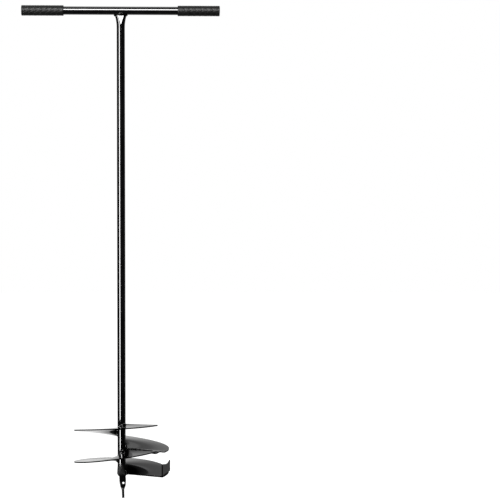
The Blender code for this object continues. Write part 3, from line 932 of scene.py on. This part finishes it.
def make_hub_bead(name, node, height_at, start_azimuth, turns, side, seed):
    """The bead along a flight's hub between two turns; side is 1 above the sheet, -1 below."""
    path = []
    ups = []
    radii = []
    for turn in even_steps(*turns, HUB_BEAD_STEPS):
        azimuth = start_azimuth - turn
        hub = hub_radius(height_at(turn, 0.0))
        face = height_at(turn, 0.0) + side * sheet_half(height_at, turn, 0.0, hub)
        path.append(polar(hub + HUB_BEAD_OUT, azimuth, face + side * HUB_BEAD_OFF))
        ups.append(polar(1.0, azimuth, float(side)))
        uneven = lump(path[-1] * HUB_BEAD_UNEVEN_SCALE, HUB_BEAD_UNEVEN, seed)
        radii.append(HUB_BEAD_RADIUS + uneven)
    bead_along(name, path, ups, radii, node, seed)


def make_seam_bead():
    """The bead over the seam of the two flights."""
    seed = 9.0
    path = []
    for across in even_steps(SEAM_BEAD_START, SEAM_BEAD_END, SEAM_BEAD_STEPS):
        path.append(flight_point(lower_height, SEAM_AZIMUTH, 0.0, across, 1) + SEAM_BEAD_LIFT)
    tapering = even_steps(SEAM_BEAD_FIRST_RADIUS, SEAM_BEAD_LAST_RADIUS, SEAM_BEAD_STEPS)
    radii = []
    for point, radius in zip(path, tapering):
        radii.append(radius + lump(point * SEAM_BEAD_UNEVEN_SCALE, SEAM_BEAD_UNEVEN, seed))
    ups = [UPWARD] * len(path)
    bead_along("seam_bead", path, ups, radii, "seam_weld", seed, material=dull_paint)


def make_cutter_bead():
    """The bead along the cutter's inner foot."""
    seed = 21.0
    stations, outward = cutter_stations()
    first = stations[1] - outward * (SHEET + GAP)
    last = stations[-2] - outward * (SHEET + GAP)
    shares = even_steps(0.0, 1.0, CUTTER_BEAD_STEPS)
    path = [on_foot(first.lerp(last, share), GAP) for share in shares]
    radii = []
    for point in path:
        uneven = lump(point * CUTTER_BEAD_UNEVEN_SCALE, CUTTER_BEAD_UNEVEN, seed)
        radii.append(CUTTER_BEAD_RADIUS + uneven)
    ups = [UPWARD - outward] * len(path)
    bead_along("side_cutter_bead", path, ups, radii, "side_cutter_weld", seed)


def make_point_collar():
    """The lumpy collar of weld metal that closes the shaft's end around the bar."""
    low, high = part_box("point_weld")
    depth = high[2] - low[2]
    outer = []
    for index in range(COLLAR_STEPS + 1):
        share = index / COLLAR_STEPS
        height = SHAFT_BOTTOM + COLLAR_LAP - (depth + COLLAR_LAP) * share
        bulge = math.sqrt(1.0 - share ** 2)
        wide = blend(point_half_width(height) + GAP, FOOT_HALF_WIDTH - COLLAR_INSET, bulge)
        deep = blend(POINT_THICKNESS / 2 + GAP, FOOT_HALF_DEPTH - COLLAR_INSET, bulge)
        ring = []
        for spoke in range(ROUND_SEGMENTS):
            angle = math.tau * spoke / ROUND_SEGMENTS
            spot = pressed_point(angle, TUBE_RADIUS, wide, deep, height)
            spot.x += point_center(height) * share
            out = Vector((spot.x, spot.y, 0.0)).normalized()
            swell = lump(spot, COLLAR_LUMP, 5.0) * min(1.0, COLLAR_LUMP_GROWTH * share)
            ring.append(spot + out * min(swell, COLLAR_LUMP_LIMIT))
        outer.append(ring)
    cap = []
    for point in outer[0]:
        trim = Vector((point.x * COLLAR_CAP_INSET, point.y * COLLAR_CAP_INSET, -COLLAR_CAP_RISE))
        cap.append(point - trim)
    collar = sweep([cap] + outer)
    add_piece("point_collar", collar, "point_weld", weld_paint, sharp_angle=80.0)


make_handle_bead()
make_hub_bead(
    "upper_hub_bead", "upper_flight_weld", lapped_upper_height, TOP_END_AZIMUTH,
    (END_MARGIN, UPPER_TURN - END_MARGIN), -1, 1.0,
)
make_hub_bead(
    "lower_hub_bead", "lower_flight_weld", lower_height, SEAM_AZIMUTH,
    (END_MARGIN, LOWER_TURN - END_MARGIN), -1, 2.0,
)
make_hub_bead(
    "upper_top_bead", "upper_flight_top_weld", lapped_upper_height, TOP_END_AZIMUTH,
    (END_MARGIN, UPPER_TURN - SEAM_MARGIN), 1, 4.0,
)
make_hub_bead(
    "lower_top_bead", "lower_flight_top_weld", lower_height, SEAM_AZIMUTH,
    (SEAM_MARGIN, LOWER_TURN - END_MARGIN), 1, 6.0,
)
make_seam_bead()
make_cutter_bead()
make_point_collar()


# ---------------------------------------------------------------- studio


STUDIO_CENTER = Vector((0.0, 0.0, (cad_low.z + cad_high.z) / 2))
FLOOR_RADIUS = 14.0
FLOOR_CLEAR = 0.0005
FLOOR_TONE = (0.25, 0.25, 0.25)
FLOOR_GLOW = 0.93

# Camera: it looks level, and its place, turn, roll and lens shift give the photo's framing
CAMERA_LENS = 99.86
CAMERA_SHIFT = 0.1636
CAMERA_PLACE = (0.0, -2.9214, -0.5039)
CAMERA_ROLL = math.radians(0.123)
CAMERA_TURN = math.radians(-1.94)


def make_floor():
    """A wide pale floor just under the point, evenly bright, so that it meets the white backdrop."""
    mesh_edit = bmesh.new()
    bmesh.ops.create_circle(mesh_edit, cap_ends=True, segments=ROUND_SEGMENTS, radius=FLOOR_RADIUS)
    mesh = bpy.data.meshes.new("floor")
    mesh_edit.to_mesh(mesh)
    mesh_edit.free()
    floor = bpy.data.objects.new("floor", mesh)
    bpy.context.scene.collection.objects.link(floor)
    floor.location.z = cad_low.z - FLOOR_CLEAR
    floor.visible_glossy = False
    material, shader = new_material("pale_floor", FLOOR_TONE, 0.9)
    shader.inputs["Specular IOR Level"].default_value = 0.0
    shader.inputs["Emission Color"].default_value = (1.0, 1.0, 1.0, 1.0)
    shader.inputs["Emission Strength"].default_value = FLOOR_GLOW
    mesh.materials.append(material)


def make_softbox(name, target, azimuth, elevation, distance, size, radiance):
    """A rectangular softbox that faces a target from an azimuth and elevation in degrees."""
    light = bpy.data.lights.new(name, "AREA")
    light.shape = "RECTANGLE"
    light.size, light.size_y = size
    light.energy = radiance * size[0] * size[1] * math.pi
    lamp = bpy.data.objects.new(name, light)
    bpy.context.scene.collection.objects.link(lamp)
    azimuth = math.radians(azimuth)
    elevation = math.radians(elevation)
    out = polar(math.cos(elevation), azimuth, math.sin(elevation))
    lamp.location = target + out * distance
    lamp.rotation_mode = "QUATERNION"
    lamp.rotation_quaternion = out.to_track_quat("Z", "Y")
    lamp.visible_camera = False
    return lamp


def spare_flights(lamp):
    """Leave the flights and the side cutter out of a lamp's light.

    In views from behind, their sheet would mirror the lamp and turn white.
    """
    spared = bpy.data.collections.new(lamp.name + "_spared")
    for name in ("upper_turn", "lower_turn", "side_cutter_plate"):
        spared.objects.link(bpy.data.objects[name])
    lamp.light_linking.receiver_collection = spared
    for entry in spared.collection_objects:
        entry.light_linking.link_state = "EXCLUDE"


# Radiance that the paint mirrors, going round the horizon: degrees from straight behind the
# object (positive towards +X) and radiance, then up from the nadir to the zenith. The two are
# multiplied.
ROUND_STUDIO = (
    (-180.0, 0.01), (-95.0, 0.02), (-40.0, 0.04), (-24.0, 0.10), (-14.0, 0.95), (0.0, 1.0),
    (16.0, 1.0), (27.0, 0.28), (60.0, 0.22), (80.0, 0.15), (100.0, 0.04), (116.0, 0.01), (180.0, 0.01),
)
UP_STUDIO = (
    (-90.0, 0.25), (-60.0, 0.30), (-30.0, 0.75), (-15.0, 1.0), (-3.0, 0.85), (3.0, 0.62), (9.0, 0.52),
    (14.0, 0.37), (20.0, 0.24), (25.0, 0.26), (34.0, 0.52), (50.0, 0.70), (90.0, 0.70),
)

# Radiance that white stands for in the colour ramps
RAMP_TOP = 1.2


def add_curve(tree, value, points, low, high):
    """A smooth curve through (value, radiance) points, read by a value between low and high."""
    ramp = tree.nodes.new("ShaderNodeValToRGB")
    ramp.color_ramp.interpolation = "EASE"
    spread = tree.nodes.new("ShaderNodeMapRange")
    spread.inputs["From Min"].default_value = math.radians(low)
    spread.inputs["From Max"].default_value = math.radians(high)
    tree.links.new(value, spread.inputs["Value"])
    tree.links.new(spread.outputs["Result"], ramp.inputs["Fac"])
    elements = ramp.color_ramp.elements
    while len(elements) < len(points):
        elements.new(0.5)
    for element, (angle, radiance) in zip(elements, points):
        element.position = (angle - low) / (high - low)
        element.color = (radiance / RAMP_TOP,) * 3 + (1.0,)
    return ramp.outputs["Color"]


def add_math(tree, operation, *values):
    """A Math node fed by sockets or numbers."""
    node = tree.nodes.new("ShaderNodeMath")
    node.operation = operation
    for socket, value in zip(node.inputs, values):
        if isinstance(value, float):
            socket.default_value = value
        else:
            tree.links.new(value, socket)
    return node.outputs["Value"]


def make_world():
    """The studio round the object: white behind, dim in front; plain white to the camera."""
    world = bpy.data.worlds.new("studio")
    bpy.context.scene.world = world
    world.use_nodes = True
    tree = world.node_tree
    background = tree.nodes["Background"]
    place = tree.nodes.new("ShaderNodeTexCoord")
    split = tree.nodes.new("ShaderNodeSeparateXYZ")
    tree.links.new(place.outputs["Generated"], split.inputs["Vector"])
    bearing = add_math(tree, "ARCTAN2", split.outputs["X"], split.outputs["Y"])
    height = add_math(tree, "ARCSINE", split.outputs["Z"])
    around = add_curve(tree, bearing, ROUND_STUDIO, -180.0, 180.0)
    upward = add_curve(tree, height, UP_STUDIO, -90.0, 90.0)
    overhead = add_math(tree, "POWER", add_math(tree, "MAXIMUM", split.outputs["Z"], 0.0), 3.0)
    around = add_math(tree, "ADD", around, overhead)
    mirrored = add_math(tree, "MULTIPLY", around, upward)
    mirrored = add_math(tree, "MULTIPLY", mirrored, RAMP_TOP * RAMP_TOP)
    path = tree.nodes.new("ShaderNodeLightPath")
    shown = add_math(tree, "MAXIMUM", mirrored, path.outputs["Is Camera Ray"])
    tree.links.new(shown, background.inputs["Strength"])
    background.inputs["Color"].default_value = (1.0, 1.0, 1.0, 1.0)


def make_camera():
    """A level camera in front at mid-height; the lens shift puts the object left of centre."""
    data = bpy.data.cameras.new("camera")
    data.sensor_width = 36.0
    data.lens = CAMERA_LENS
    data.shift_x = CAMERA_SHIFT
    camera = bpy.data.objects.new("camera", data)
    bpy.context.scene.collection.objects.link(camera)
    camera.location = CAMERA_PLACE
    camera.rotation_euler = (math.radians(90.0), CAMERA_ROLL, CAMERA_TURN)
    bpy.context.scene.camera = camera


make_floor()
spare_flights(make_softbox(
    "key_softbox", STUDIO_CENTER,
    azimuth=-41.0, elevation=0.0, distance=2.4, size=(0.72, 2.6), radiance=36.0,
))
spare_flights(make_softbox(
    "top_softbox", Vector(),
    azimuth=1.6, elevation=22.0, distance=2.6, size=(0.96, 0.92), radiance=38.0,
))
make_world()
make_camera()
bpy.context.scene.view_settings.view_transform = "Standard"
